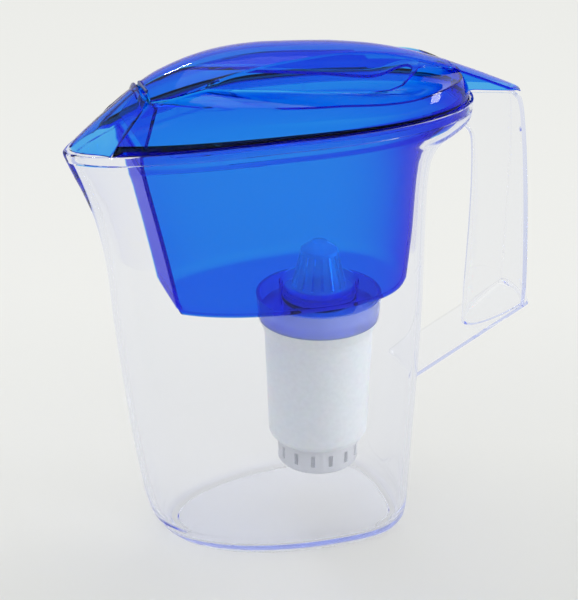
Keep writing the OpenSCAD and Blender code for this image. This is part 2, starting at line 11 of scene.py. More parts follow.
import bpy
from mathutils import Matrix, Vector


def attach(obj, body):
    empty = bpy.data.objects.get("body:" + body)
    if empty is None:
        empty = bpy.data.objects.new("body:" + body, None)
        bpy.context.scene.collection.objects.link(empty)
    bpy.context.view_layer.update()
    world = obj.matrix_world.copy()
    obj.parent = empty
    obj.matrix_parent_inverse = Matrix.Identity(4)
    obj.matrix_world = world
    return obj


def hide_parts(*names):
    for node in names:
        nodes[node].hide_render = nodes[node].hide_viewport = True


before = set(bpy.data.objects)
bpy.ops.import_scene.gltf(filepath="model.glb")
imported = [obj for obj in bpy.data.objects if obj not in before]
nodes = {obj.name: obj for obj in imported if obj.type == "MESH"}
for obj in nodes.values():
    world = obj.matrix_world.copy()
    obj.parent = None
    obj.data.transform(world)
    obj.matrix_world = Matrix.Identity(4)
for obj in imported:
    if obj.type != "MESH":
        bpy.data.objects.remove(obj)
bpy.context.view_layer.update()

# %% [markdown]
# ## Curves read from a few chosen rows
#
# Every wall of the pitcher follows a table with a handful of rows: at this height the wall is here.
# A smooth curve through the rows gives any height in between. The same idea shapes the CAD model,
# but there each outline has few points, which keeps the solids small. Here the outlines have many
# points, so that clear plastic bends light without visible facets.


# %% Easing and mixing
def clamp(v):
    return min(1.0, max(0.0, v))


def ease(v):
    c = clamp(v)
    return c * c * (3 - 2 * c)


def mix(a, b, f):
    return a + (b - a) * f


def signed_power(v, n):
    return math.copysign(abs(v) ** n, v)


def steps(a, b, n):
    return [mix(a, b, i / n) for i in range(n)]


print("a quarter of the way, easing gives", ease(0.25))


# %% Smooth and straight reading of a table
def row_index(table, v):
    i = 0
    while i < len(table) - 2 and v > table[i + 1][0]:
        i += 1
    return i


def tilt(table, i, c):
    a, b = max(i - 1, 0), min(i + 1, len(table) - 1)
    return (table[b][c] - table[a][c]) / (table[b][0] - table[a][0])


def curve(table, v, c):
    i = row_index(table, v)
    p, q = table[i], table[i + 1]
    h = q[0] - p[0]
    u = clamp((v - p[0]) / h)
    u2, u3 = u * u, u * u * u
    return (
        p[c] * (2 * u3 - 3 * u2 + 1)
        + q[c] * (3 * u2 - 2 * u3)
        + h * (tilt(table, i, c) * (u3 - 2 * u2 + u) + tilt(table, i + 1, c) * (u3 - u2))
    )


def line_at(table, v, c):
    i = row_index(table, v)
    p, q = table[i], table[i + 1]
    return mix(p[c], q[c], clamp((v - p[0]) / (q[0] - p[0])))


print("a curve through 0, 1 and 0 reads", curve([[0, 0], [1, 1], [2, 0]], 0.5, 1), "after half a row")

# %% [markdown]
# ## The jug's outline
#
# In plan the jug is a teardrop: a rounded rear towards the handle and a nose towards the spout. A
# superellipse does this with one number for how round each half is. The rim dips towards the spout,
# so the rings near the top dip with it. All tables are in millimetres. Their x is nought in the
# jug's middle, and FRAME_X brings it to the frame's origin, near the middle of jug and handle.

# %% Tables of the jug and the funnel
MM = 0.001
FRAME_X = -13.3
RIM_Z = 234
LEDGE_Z = 229.5
FLOOR_Z = 4.5
JUG_WALL = 2.4
# The inside has at each height the outline that the outside has this much lower.
RISE = 2
# Height, front, rear, half width, x of the widest place, roundness of the front and of the rear.
JUG = [
    [0, -62, 63, 45, 20, 2.05, 2.9],
    [6, -68, 66.2, 48.8, 20, 2.05, 2.9],
    [16, -73, 67.5, 49.6, 19, 2.05, 2.85],
    [45, -78.8, 69.5, 50.2, 16, 2, 2.8],
    [85, -84, 72.3, 50.6, 11, 2, 2.75],
    [125, -88.2, 74.3, 50.9, 7, 1.95, 2.7],
    [160, -91.2, 75, 51.1, 4, 1.9, 2.65],
    [190, -96.2, 76, 51.3, 2, 1.8, 2.55],
    [205, -100.4, 78.2, 51.4, 1, 1.72, 2.5],
    [213, -103, 82.5, 51.5, 0.5, 1.68, 2.45],
    [218, -104.9, 88.5, 51.5, 0, 1.65, 2.42],
    [222, -106.3, 96.5, 51.5, 0, 1.63, 2.4],
    [225.5, -107.6, 100.3, 51.6, 0, 1.61, 2.4],
    [235, -111, 101.5, 51.8, 0, 1.6, 2.4],
]
# Height, x of the flat front wall, then the same numbers as above.
FUNNEL = [
    [136, -59.5, -71, 67, 39.7, 14, 2, 2.4],
    [165, -65.3, -77.5, 69.8, 42.3, 9, 1.95, 2.4],
    [200, -72.4, -87, 72, 44.6, 4, 1.85, 2.4],
    [212, -74.9, -91, 75.4, 45.3, 2, 1.8, 2.4],
    [219, -76.3, -93.5, 81.5, 45.7, 1, 1.78, 2.4],
    [223.5, -77.2, -95.5, 88.5, 46, 0, 1.75, 2.4],
]
print("the jug's outline has", len(JUG), "rows and the funnel's", len(FUNNEL))

# %% Shapes at a height
DIP_DEPTH = 11.5
DIP_X = -5
DIP_RUN = 106
DIP_POWER = 1.4
DIP_Z = 150
FLARE_RUN = 70
FLARE_EXTRA = 0.7


def dip(x, z):
    return DIP_DEPTH * clamp((DIP_X - x) / DIP_RUN) ** DIP_POWER * ease((z - DIP_Z) / (RIM_Z - DIP_Z))


# In the flare the front wall slants, so it needs more inset for the same thickness.
def jug_shape(z, inset):
    k = inset * (1 + FLARE_EXTRA * ease((z - DIP_Z) / FLARE_RUN))
    front, rear, half = (curve(JUG, z, c) for c in (1, 2, 3))
    return [front + k, rear - inset, half - inset] + [curve(JUG, z, c) for c in (4, 5, 6)]


def funnel_shape(z, inset):
    front, rear, half = (curve(FUNNEL, z, c) for c in (2, 3, 4))
    return [front + inset, rear - inset, half - inset] + [curve(FUNNEL, z, c) for c in (5, 6, 7)]


print("at the spout the rim dips by", round(dip(JUG[-1][1], RIM_Z), 2), "mm")


# %% Outlines in plan
def on_plan(shape, angle):
    front, rear, half, middle, front_n, rear_n = shape
    c = math.cos(angle)
    e = 2 / (front_n if c < 0 else rear_n)
    reach = middle - front if c < 0 else rear - middle
    return middle + reach * signed_power(c, e), half * signed_power(math.sin(angle), e)


def half_at(shape, x):
    front, rear, half, middle, front_n, rear_n = shape
    n = front_n if x < middle else rear_n
    u = clamp((middle - x) / (middle - front) if x < middle else (x - middle) / (rear - middle))
    return half * (1 - u**n) ** (1 / n)


def plan(shape, n=200):
    return [on_plan(shape, 2 * math.pi * i / n) for i in range(n)]


def at_z(points, z):
    return [(x, y, z) for x, y in points]


def at_dip(points, z):
    return [(x, y, z - dip(x, z)) for x, y in points]


print("at its rim the jug is", round(2 * half_at(jug_shape(RIM_Z, 0), 0), 1), "mm wide")

# %% [markdown]
# The funnel has a teardrop outline too, but a straight wall cuts off its nose. Its points are placed
# rear, side and wall in turn, so that each ring has as many points on each stretch as the next one.
# That way the quads between two rings never run across the corner.


# %% An outline with its front cut flat
def cut_plan(shape, wall_x, n=44, flat=8):
    rear_x, half, middle, rear_n = shape[1], shape[2], shape[3], shape[5]
    e = 2 / rear_n
    rear, side = [], []
    for i in range(n + 1):
        a = math.pi / 2 * i / n
        rear.append((middle + (rear_x - middle) * math.cos(a) ** e, half * math.sin(a) ** e))
    for i in range(1, n + 1):
        x = middle - (middle - wall_x) * math.sin(math.pi / 2 * i / n)
        side.append((x, half_at(shape, x)))
    corner = half_at(shape, wall_x)
    wall = [(wall_x, corner * (1 - i / flat)) for i in range(1, flat)]
    near = rear + side + wall
    return near + [(wall_x, 0)] + [(x, -y) for x, y in reversed(near[1:])]


print("a cut outline has", len(cut_plan(funnel_shape(200, 0), -72)), "points")

# %% [markdown]
# ## Skins
#
# A wall is a row of closed outlines joined by quads. Going up the outer face, over the rim and down
# the inner face gives a real wall with a thickness, and clear plastic needs that: light bends when
# it enters and when it leaves. Edges sharper than a chosen angle stay crisp. A solidify modifier
# would be quicker, but it can't give the steps inside the rims.

# %% Turn points and faces into an object
SHARP_DEG = 32


def soften(mesh, sharp_deg):
    mesh.shade_smooth()
    mesh.set_sharp_from_angle(angle=math.radians(sharp_deg))


def make_object(name, points, faces, sharp_deg=SHARP_DEG):
    mesh = bpy.data.meshes.new(name)
    mesh.from_pydata([((x + FRAME_X) * MM, y * MM, z * MM) for x, y, z in points], [], faces)
    mesh.validate()
    mesh.update()
    soften(mesh, sharp_deg)
    obj = bpy.data.objects.new(name, mesh)
    bpy.context.scene.collection.objects.link(obj)
    print(name, len(points), "points")
    return obj


# %% [markdown]
# The first and the last ring are closed by one face each. A folded ring, which goes out along one
# face of a wall and back along the other, is closed by a row of small quads across the wall.


# %% Join rings by quads
def folded_cap(n, start, flip):
    quads = []
    for i in range(n // 2 - 1):
        quad = (i, i + 1, n - 2 - i, n - 1 - i)
        quads.append(tuple(start + k for k in (quad[::-1] if flip else quad)))
    return quads


def skin(name, rings, folded=False, sharp_deg=SHARP_DEG):
    n, last = len(rings[0]), (len(rings) - 1) * len(rings[0])
    faces = []
    for a in range(0, last, n):
        for i in range(n):
            k = (i + 1) % n
            faces.append((a + i, a + k, a + n + k, a + n + i))
    if folded:
        for near, far in zip(folded_cap(n, 0, True), folded_cap(n, last, False)):
            faces += [near, far]
    else:
        faces += [tuple(range(n - 1, -1, -1)), tuple(last + i for i in range(n))]
    return make_object(name, [p for ring in rings for p in ring], faces, sharp_deg)


def fold(outer, inner):
    return outer + inner[::-1]


print("a folded cap of 8 points has", len(folded_cap(8, 0, False)), "quads")

# %% [markdown]
# ## The plastics
#
# Clear plastic reflects a little, bends light as it passes, and is faintly tinted along its edges.
# The tint comes from the depth of plastic that the light crosses, so it is set as absorption inside
# the solid, and the surface itself stays white. The blue pieces work the same way with a strong
# absorption: one wall looks bright blue, and several walls in a row look deep blue. The other way,
# a blue surface colour, gives the same blue at every thickness, which tinted plastic doesn't show.


# %% Node helpers
def set_sockets(node, values):
    for socket, value in values.items():
        node.inputs[socket].default_value = value


def add_node(tree, kind, **settings):
    node = tree.nodes.new("ShaderNode" + kind)
    for key, value in settings.items():
        setattr(node, key, value)
    return node


def wire(tree, *pairs):
    for output, socket in pairs:
        tree.links.new(output, socket)


def new_material(name, values):
    material = bpy.data.materials.new(name)
    material.use_nodes = True
    shader = material.node_tree.nodes["Principled BSDF"]
    set_sockets(shader, values)
    return material, material.node_tree, shader


print("materials before the first plastic:", len(bpy.data.materials))

# %% [markdown]
# A lamp's light that has to bend through two clear walls hardly ever reaches the floor, so real
# refraction alone would give the jug a black shadow. The surface therefore lets shadow rays pass
# straight, and only the absorption inside darkens and tints them. A pitcher on pale paper throws
# just such a light, bluish shadow.

# %% See-through plastic
COAT_ROUGH = 0.03


def see_through(name, tint, depth_mm, ior, rough=0.01, surface=(1, 1, 1), coat=0, clear=1):
    sockets = {"Base Color": (*surface, 1), "Roughness": rough, "IOR": ior}
    sockets |= {"Transmission Weight": clear, "Coat Weight": coat, "Coat Roughness": COAT_ROUGH}
    material, tree, shader = new_material(name, sockets)
    inside = add_node(tree, "VolumeAbsorption")
    set_sockets(inside, {"Color": (*tint, 1), "Density": 1 / (depth_mm * MM)})
    path = add_node(tree, "LightPath")
    through = add_node(tree, "BsdfTransparent")
    mixed = add_node(tree, "MixShader")
    out = tree.nodes["Material Output"]
    wire(
        tree,
        (inside.outputs[0], out.inputs["Volume"]),
        (path.outputs["Is Shadow Ray"], mixed.inputs[0]),
        (shader.outputs[0], mixed.inputs[1]),
        (through.outputs[0], mixed.inputs[2]),
        (mixed.outputs[0], out.inputs["Surface"]),
    )
    print(name, "absorbs over", depth_mm, "mm")
    return material


# %% [markdown]
# The jug takes a thin grey-blue tint that shows only where light runs along a wall. The funnel and
# the lid share nearly one blue, but not one gloss. The funnel stands inside the jug and is seen at
# grazing angles, where its surface would turn to a mirror, so it bends light very little and keeps a
# thin coat for its sheen. The lid stands in the open and bends more. Its lowest band has a slightly
# blue, darker surface: painted shade, which draws the dark line along the skirt. Strainer, collar
# and cap are the milky kind, where part of the light is scattered at the surface. The collar's
# periwinkle blue is painted light: the blue light that falls through the funnel onto it.

# %% The see-through finishes
funnel_tint = (0, 0.73, 0.985)
lid_tint = (0, 0.7, 0.985)
clear_plastic = see_through("clear plastic", (0.62, 0.68, 0.98), 40, ior=1.25)
funnel_plastic = see_through("funnel plastic", funnel_tint, 0.8, ior=1.02, coat=0.12)
lid_plastic = see_through("lid plastic", lid_tint, 0.8, ior=1.2, coat=0.15)
# Painted shade: this darker blue surface draws the dark line at the foot of the lid's skirt.
lid_edge_painted_shade = see_through("lid edge painted shade", lid_tint, 0.8, ior=1.2, surface=(0.84, 0.86, 0.97))
strainer_plastic = see_through(
    "strainer plastic", (0.7, 0.76, 0.97), 30, ior=1.3, rough=0.25, surface=(0.9, 0.93, 1), clear=0.7
)
# Painted light: the collar's periwinkle tint and surface stand for the blue light that the funnel lets
# through onto it; its milky see-through finish is real.
collar_painted_blue_light = see_through(
    "collar painted blue light", (0.35, 0.5, 0.98), 14, ior=1.25, rough=0.15, surface=(0.66, 0.74, 1), clear=0.65
)
cap_plastic = see_through(
    "cap plastic", (0.8, 0.85, 0.98), 30, ior=1.25, rough=0.4, surface=(0.93, 0.94, 0.97), clear=0.4
)

# %% [markdown]
# The opaque pieces are the white cartridge body, the ring, the pin, the fibre pads and the sorbent.
# One noise drives both a small change of colour and a small bump. A fine, weak one is moulded
# plastic, and a strong one is felt or granules. The white body also lets light sink in a little,
# which softens its shaded side as thin white plastic does.

# %% Opaque finishes
SINK_M = 0.004
BUMP_M = 0.0004
LOW_STOP, HIGH_STOP = 0.35, 0.65


def speckle(tree, shader, color, spread, scale):
    where = add_node(tree, "TexCoord")
    noise = add_node(tree, "TexNoise")
    set_sockets(noise, {"Scale": scale, "Detail": 3})
    ramp = add_node(tree, "ValToRGB")
    low, high = ramp.color_ramp.elements
    low.position, high.position = LOW_STOP, HIGH_STOP
    low.color = (*[max(0, c * (1 - spread)) for c in color], 1)
    high.color = (*[min(1, c * (1 + spread)) for c in color], 1)
    bump = add_node(tree, "Bump")
    set_sockets(bump, {"Strength": spread, "Distance": BUMP_M})
    wire(
        tree,
        (where.outputs["Object"], noise.inputs["Vector"]),
        (noise.outputs["Fac"], ramp.inputs["Fac"]),
        (ramp.outputs["Color"], shader.inputs["Base Color"]),
        (noise.outputs["Fac"], bump.inputs["Height"]),
        (bump.outputs["Normal"], shader.inputs["Normal"]),
    )


def solid(name, color, rough, spread, scale=400, metal=0, inner=0):
    sockets = {"Base Color": (*color, 1), "Roughness": rough, "Metallic": metal}
    if inner:
        sockets |= {"Subsurface Weight": inner, "Subsurface Scale": SINK_M}
    material, tree, shader = new_material(name, sockets)
    speckle(tree, shader, color, spread, scale)
    return material


white_plastic = solid("white plastic", (0.86, 0.87, 0.9), 0.3, 0.02, inner=0.25)
seal_rubber = solid("seal rubber", (0.02, 0.02, 0.025), 0.6, 0.1)
pin_steel = solid("pin steel", (0.12, 0.14, 0.3), 0.35, 0.03, metal=1)
felt_pad = solid("fibre pad", (0.85, 0.85, 0.82), 0.9, 0.2, scale=900)
granules = solid("carbon granules", (0.03, 0.028, 0.026), 0.8, 0.6, scale=700)
print("now there are", len(bpy.data.materials), "materials")

# %% [markdown]
# A finished piece needs three words with the frame: which CAD solid it takes the place of, which
# kind of surface it is, and which body it moves with. One helper says all three. Another helper
# paints shade: it gives the faces between chosen lines of a folded ring the lid edge's darker surface.


# %% Dress a piece and tie it to its body
def dress(obj, material):
    obj.data.materials.clear()
    obj.data.materials.append(material)


def tie(obj, material, body, node=None):
    dress(obj, material)
    if node:
        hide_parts(node)
    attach(obj, body)
    print(obj.name, "moves with", body)


def darken_edge(obj, n, lines):
    # The darker lid-edge surface is painted shade, a dark line along the edge.
    obj.data.materials.append(lid_edge_painted_shade)
    edge = [f for f in obj.data.polygons if f.index % n in lines and len(f.vertices) == 4]
    for face in edge:
        face.material_index = 1
    print(obj.name, "has", len(edge), "edge faces")


# %% [markdown]
# ## The jug
#
# The real jug is one clear moulding with a foot ring, a wall about two and a half millimetres thick,
# and a step inside the rim that the funnel hangs on. Rings go up the outside, over a rounded rim,
# down to the step, and down the inside to a filleted floor.

# %% Jug body
FOOT = [(5, 1.6), (4.6, 0.4), (4, 0)]
RIM_ROUND = [(0.05, 234.6), (0.3, 234.9), (0.75, 235), (1.2, 234.9), (1.5, 234.6)]
heights = steps(0, 6, 6) + steps(6, 20, 8) + steps(20, 150, 20) + steps(150, 195, 14)
heights += steps(195, 234.5, 34)


def jug_ring(z, inset=0, lower=0):
    return at_dip(plan(jug_shape(z - lower, inset)), z)


def jug_rim(inset, z):
    return at_dip(plan(jug_shape(RIM_Z, inset)), z)


def fillet(radius, n=8):
    angles = [math.pi / 2 * i / n for i in range(n + 1)]
    return [(radius * (1 - math.cos(a)), radius * (1 - math.sin(a))) for a in angles]


jug_rings = [at_z(plan(jug_shape(0, inset)), z) for inset, z in FOOT]
jug_rings += [jug_ring(z) for z in heights]
jug_rings += [jug_rim(inset, z) for inset, z in RIM_ROUND]
jug_rings += [jug_ring(z, 1.5) for z in (233, 231, LEDGE_Z + 0.2)]
jug_rings += [jug_rim(1.6, LEDGE_Z), jug_ring(LEDGE_Z, JUG_WALL + 0.1)]
jug_rings += [jug_ring(z, JUG_WALL, RISE) for z in reversed(heights) if 10 < z < 227]
for inward, up in fillet(5):
    jug_rings.append(at_z(plan(jug_shape(7.2, JUG_WALL + 0.4 + inward)), FLOOR_Z + up))
jug = skin("jug_body_smooth", jug_rings)
tie(jug, clear_plastic, "jug", "jug_body")

# %% [markdown]
# ## The funnel
#
# The funnel is a deep basin with a flat slanted wall towards the spout, so that filtered water can
# pass in front of it. Its upper band follows the jug's inside and ends in a flange on the jug's
# step. A short neck hangs below a hole in the floor, and the cartridge is pushed onto it.

# %% Rows of the funnel's band and flange
WALL = 1.9
BAND_Z = 223.5
BAND = 2.85
FLANGE = 1.85
FLANGE_Z = 233.8
# Height of the jug's outline, inset in it, step of the front wall, height.
BAND_ROWS = [(BAND_Z - RISE, BAND, -0.4, BAND_Z + 0.4)]
BAND_ROWS += [(z - RISE, BAND, -0.8, z) for z in (224.5, 225.2, 226, 227.5)]
BAND_ROWS += [
    (LEDGE_Z - RISE, BAND, -1, LEDGE_Z + 0.35),
    (LEDGE_Z, FLANGE, -1.2, LEDGE_Z + 0.4),
    (FLANGE_Z, FLANGE, -1.4, 233.5),
    (FLANGE_Z, FLANGE + 0.3, -1.2, FLANGE_Z),
    (FLANGE_Z, BAND + WALL - 0.3, 0.8, FLANGE_Z),
    (FLANGE_Z, BAND + WALL, 1, 233.5),
    (LEDGE_Z - RISE, BAND + WALL, 1, LEDGE_Z + 1.4),
    (BAND_Z - RISE, BAND + WALL, 1.4, BAND_Z + WALL + 0.6),
]
print("the band and the flange take", len(BAND_ROWS), "rings")

# %% Funnel basin
FLOOR = 136
FRONT_SHARE = 0.8


def funnel_ring(z, inset, up=0):
    return at_dip(cut_plan(funnel_shape(z, inset), curve(FUNNEL, z, 1) + inset), z + up)


front_x = curve(FUNNEL, BAND_Z, 1)
levels = steps(141.5, 200, 14) + steps(200, BAND_Z, 14) + [BAND_Z]
funnel_rings = []
for up, inward in fillet(5.5)[1:]:
    ring = cut_plan(funnel_shape(FLOOR, inward), FUNNEL[0][1] + FRONT_SHARE * inward)
    funnel_rings.append(at_z(ring, FLOOR + up))
funnel_rings += [funnel_ring(z, 0) for z in levels]
for outline_z, inset, step, z in BAND_ROWS:
    funnel_rings.append(at_dip(cut_plan(jug_shape(outline_z, inset), front_x + step), z))
funnel_rings += [funnel_ring(z, WALL, 1.4) for z in reversed(levels)]
for inward, up in fillet(4):
    r = WALL + inward
    ring = cut_plan(funnel_shape(FLOOR + 1, r), curve(FUNNEL, FLOOR + 1, 1) + r)
    funnel_rings.append(at_z(ring, FLOOR + WALL + up))
funnel = skin("funnel_smooth", funnel_rings)

# %% [markdown]
# The neck and the floor's hole are made with the two exact tools that a modeller would reach for
# first: a boolean that joins the neck's tube, then one that bores it. A boolean drops the smooth
# shading, so the helper puts it back.

# %% Funnel neck
CART_X = 21.7
NECK_R = 21
BORE_R = 19.5


def tube(name, r, z0, z1, n=128):
    angles = [2 * math.pi * i / n for i in range(n)]
    circle = [(CART_X + r * math.cos(a), r * math.sin(a)) for a in angles]
    return skin(name, [at_z(circle, z0), at_z(circle, z1)])


def combine(target, tool, how):
    mod = target.modifiers.new(how, "BOOLEAN")
    mod.operation = how
    mod.object = tool
    mod.solver = "EXACT"
    bpy.context.view_layer.update()
    graph = bpy.context.evaluated_depsgraph_get()
    mesh = bpy.data.meshes.new_from_object(target.evaluated_get(graph))
    target.modifiers.clear()
    soften(mesh, SHARP_DEG)
    old = target.data
    target.data = mesh
    bpy.data.meshes.remove(old)
    bpy.data.objects.remove(tool, do_unlink=True)
    print(target.name, how.lower(), "gives", len(mesh.polygons), "faces")


combine(funnel, tube("neck", NECK_R, 123.5, 137), "UNION")
combine(funnel, tube("bore", BORE_R, 120, 150), "DIFFERENCE")

# %% [markdown]
# Four small upright ribs inside the upper band stiffen it, two on each side. Each is a plain box
# that sinks into the wall, and one boolean joins all four.

# %% Ribs in the funnel's band
RIB_X = (-42, 28)
RIB_Z = 227.2
RIB_HALF = (0.8, 1.1, 3.1)
BOX = [(3, 2, 1, 0), (4, 5, 6, 7), (0, 1, 5, 4), (1, 2, 6, 5), (2, 3, 7, 6), (3, 0, 4, 7)]
signs = [(-1, -1, -1), (1, -1, -1), (1, 1, -1), (-1, 1, -1)]
signs += [(a, b, 1) for a, b, _c in signs]
band_inside = jug_shape(226 - RISE, BAND + WALL)
rib_points, rib_faces = [], []
for x in RIB_X:
    for side in (-1, 1):
        centre = (x, side * (half_at(band_inside, x) + 0.6), RIB_Z - dip(x, 227))
        rib_faces += [tuple(len(rib_points) + i for i in face) for face in BOX]
        rib_points += [[m + s * h for m, s, h in zip(centre, sign, RIB_HALF)] for sign in signs]
combine(funnel, make_object("ribs", rib_points, rib_faces), "UNION")
tie(funnel, funnel_plastic, "funnel_body", "funnel")

# %% [markdown]
# ## The lid
#
# The lid is a bulging skirt up to a step, a sunk shelf for the fingers on both sides, and a long
# opening in the middle. Its section is swept round from one side of the spout, past the handle, to
# the other side. The places where the sweep starts are found by halving an interval until each line
# of the section meets the spout flap. A boolean cut for the flap would leave a ragged edge where
# the two meet at a low angle, and this way gives an even gap.

# %% Tables of the flip lid
T = 1.8
LID_LOW = RIM_Z + 0.2
PIVOT_X = -69.5
# x, height of the ridge, half width of the arch, height of its edge.
STRIP = [
    [-69.2, 255, 13.6, 249.8],
    [-60, 259.3, 18.6, 252.2],
    [-44, 264.6, 20, 257.4],
    [-28, 267.4, 19.6, 261.6],
    [-10, 268.5, 17.2, 263.6],
    [5, 267.8, 14.8, 264],
    [20, 266.6, 12.4, 264],
    [32, 265.3, 10.6, 263.4],
    [51, 262.2, 8.9, 260.7],
    [70, 257.2, 8, 255.8],
    [90, 250.2, 7.6, 249],
]
# x, half width of the side wall's foot, height of the foot.
SKIRT = [
    [-69.2, 13.5, 249.5],
    [-60, 18.7, 251.8],
    [-44, 20.6, 255.3],
    [-30, 20.6, 253.7],
    [-5, 20.6, 250.7],
    [30, 20.6, 245.9],
    [44, 20.2, 244.3],
    [52, 19.2, 243.9],
    [60, 17.2, 245.4],
    [67, 13.4, 249.5],
    [71, 10.6, 251.3],
    [76, 9, 250.6],
    [90, 8, 247.8],
]
print("the flip lid is", STRIP[-1][0] - STRIP[0][0], "mm long")

# %% Tables of the lid's rim, its tail and the flap
# x and height, along the shelf's outer edge and along the opening.
SHELF_EDGE = [
    [-79, 252], [-74, 251], [-69, 249.6], [-60, 250], [10, 250], [40, 247.6],
    [54, 247], [67, 247.6], [79, 248.4], [86, 248], [94, 246.4],
]
SHELF_INNER = [
    [-76, 247], [-69, 248], [-60, 250.6], [-45, 254.4], [-30, 252.6], [-5, 249.7],
    [30, 244.8], [52, 242], [60, 243.6], [67, 248.2], [70, 250],
]
# x, height, half width.
TAIL = [
    [90.6, 249.9, 7.6], [100, 245.9, 7.9], [110, 241.6, 7.8], [118, 238, 7.4],
    [125, 234.8, 6.6], [129, 232.9, 5.2], [130.6, 232, 3.6],
]
# x, height of the ridge, half width, height of the edge.
NOSE = [
    [-91.4, 238.6, 19.6, 226.8], [-83, 245, 17.3, 235.6], [-76, 250.6, 15.3, 243.1],
    [-69.8, 254.7, 12.6, 249.7],
]
# x and the half width that the lid's rim leaves for the flap.
FLAP = [[-120, 27.5], [-91.4, 19.6], [-83, 17.3], [-76, 15.4], [-69.8, 13.7], [-60, 13]]
EDGE_SHAPE = [-79, 94, 47, 10, 1.5, 2.6]
OPENING = [-76, 70, 19, -10, 3, 2.6]
print("the opening is", OPENING[1] - OPENING[0], "by", 2 * OPENING[2], "mm")

# %% [markdown]
# The section has three guiding lines. The low one runs along the jug's rim, the middle one along
# the shelf's outer edge, and the third round the opening. The skirt is mixed from the first two,
# and near the sides it is pushed out a little, which gives the bulge that catches the light.

# %% Lines of the lid's section
LIP_DROP = 3.3
LIP_X = -70
LIP_RUN = 8
# Row, share of the way at the ends, share at the sides, push outwards in mm.
BULGE = [[0, 0, 0, 0], [1, 0.1, 0.42, 0], [2, 0.35, 0.62, 1.4], [3, 0.7, 0.86, 0.6], [4, 1, 1, 0]]


def rim_shape(inset):
    return jug_shape(RIM_Z, 2 + inset)


def rim_point(a, inset, z):
    x, y = on_plan(rim_shape(inset), a)
    return x, y, z - dip(x, z)


def lip_point(a, inset):
    x, y, z = rim_point(a, inset, LID_LOW)
    return x, y, z - 0.05 - LIP_DROP * ease((x - LIP_X) / LIP_RUN)


def edge_point(a, inset, down):
    shape = [v + inset * k for v, k in zip(EDGE_SHAPE, (1, -1, -1, 0, 0, 0))]
    x, y = on_plan(shape, a)
    return x, y, curve(SHELF_EDGE, x, 1) - down


def opening_point(a, down):
    x, y = on_plan(OPENING, a)
    return x, y, curve(SHELF_INNER, x, 1) - down


def skirt_point(a, row, inset):
    ends, sides, push = (curve(BULGE, row, c) for c in (1, 2, 3))
    side = abs(math.sin(a))
    k = mix(ends, sides, side)
    low, top = rim_point(a, inset, LID_LOW), edge_point(a, inset, inset)
    out = push * ease((side - 0.5) * 2) * math.copysign(1, low[1])
    return mix(low[0], top[0], k), mix(low[1], top[1], k) + out, mix(low[2], top[2], sides)


def shelf_point(a, f, inset):
    p, q = edge_point(a, inset, inset), opening_point(a, inset)
    return tuple(mix(u, v, f) for u, v in zip(p, q))


print("at the rear the skirt rises", round(edge_point(0, 0, 0)[2] - LID_LOW, 1), "mm above the rim")

# %% [markdown]
# Written down as a list, the section is a function of the angle for each of its lines: up the
# outside, across the shelf, over the opening's edge, and back on the inside one wall deeper.

# %% The section as a list of lines
LIP_OUT, LIP_IN = 4.2, 5.6
UNDER_Z = LID_LOW + 2
ROWS = [0.5, 1, 1.5, 2, 2.5, 3, 3.5]
SHARES = [0, 0.33, 0.66, 1]
SECTION = [lambda a: lip_point(a, LIP_OUT), lambda a: rim_point(a, LIP_OUT, LID_LOW)]
SECTION += [lambda a: rim_point(a, 0, LID_LOW)]
SECTION += [lambda a, row=row: skirt_point(a, row, 0) for row in ROWS]
SECTION += [lambda a, f=f: shelf_point(a, f, 0) for f in SHARES]
SECTION += [lambda a, f=f: shelf_point(a, f, T) for f in SHARES[::-1]]
SECTION += [lambda a, row=row: skirt_point(a, row, T) for row in ROWS[::-1]]
SECTION += [lambda a: rim_point(a, T, UNDER_Z), lambda a: rim_point(a, LIP_IN, UNDER_Z)]
SECTION += [lambda a: lip_point(a, LIP_IN)]
print("the section has", len(SECTION), "lines")

# %% Sweep the section round the rim
HALVINGS = 22
GAP = 0.6
SWEEP = 180


def cut_angle(line):
    lo, hi = math.radians(95), math.pi
    for _ in range(HALVINGS):
        mid = (lo + hi) / 2
        x, y, _z = line(mid)
        if x < PIVOT_X + 0.8 and abs(y) < line_at(FLAP, x, 1) + GAP:
            hi = mid
        else:
            lo = mid
    return lo


ends = [cut_angle(line) for line in SECTION]
lid_rings = []
for i in range(SWEEP + 1):
    lid_rings.append([line(mix(end, -end, i / SWEEP)) for line, end in zip(SECTION, ends)])
lid = skin("lid_frame_smooth", lid_rings, folded=True, sharp_deg=38)
tie(lid, lid_plastic, "lid", "lid_frame")
# The lid's lowest band gets painted shade, a dark line along the skirt.
darken_edge(lid, len(SECTION), (1, 2))

# %% [markdown]
# The lid's tail runs back over the handle's well as a shallow channel turned upside down. Its
# sides reach down into the well, and its end narrows to a rounded nose. The partition is a slanted
# plate under the lid that keeps the water of the filling side out of the spout.

# %% Tail over the handle
CROWN = 1.3


def tail_low(x):
    return 235.5 - 0.14 * max(0, x - 103)


def tail_ring(x, m=12):
    z, w = curve(TAIL, x, 1), curve(TAIL, x, 2)
    low = min(tail_low(x), z - 1.6)
    v = max(w - T, 0.8)
    over = [(x, -w * i / m, z - CROWN * (i / m) ** 2) for i in range(-m, m + 1)]
    under = [(x, -v * i / m, max(z - T - CROWN * (i / m) ** 2, low + 0.2)) for i in range(-m, m + 1)]
    return fold([(x, w, low)] + over + [(x, -w, low)], [(x, v, low)] + under + [(x, -v, low)])


tail_x = steps(90.6, 126, 24) + steps(126, 130.6, 8) + [130.6]
tail = skin("lid_tail", [tail_ring(x) for x in tail_x], folded=True)
tie(tail, lid_plastic, "lid")

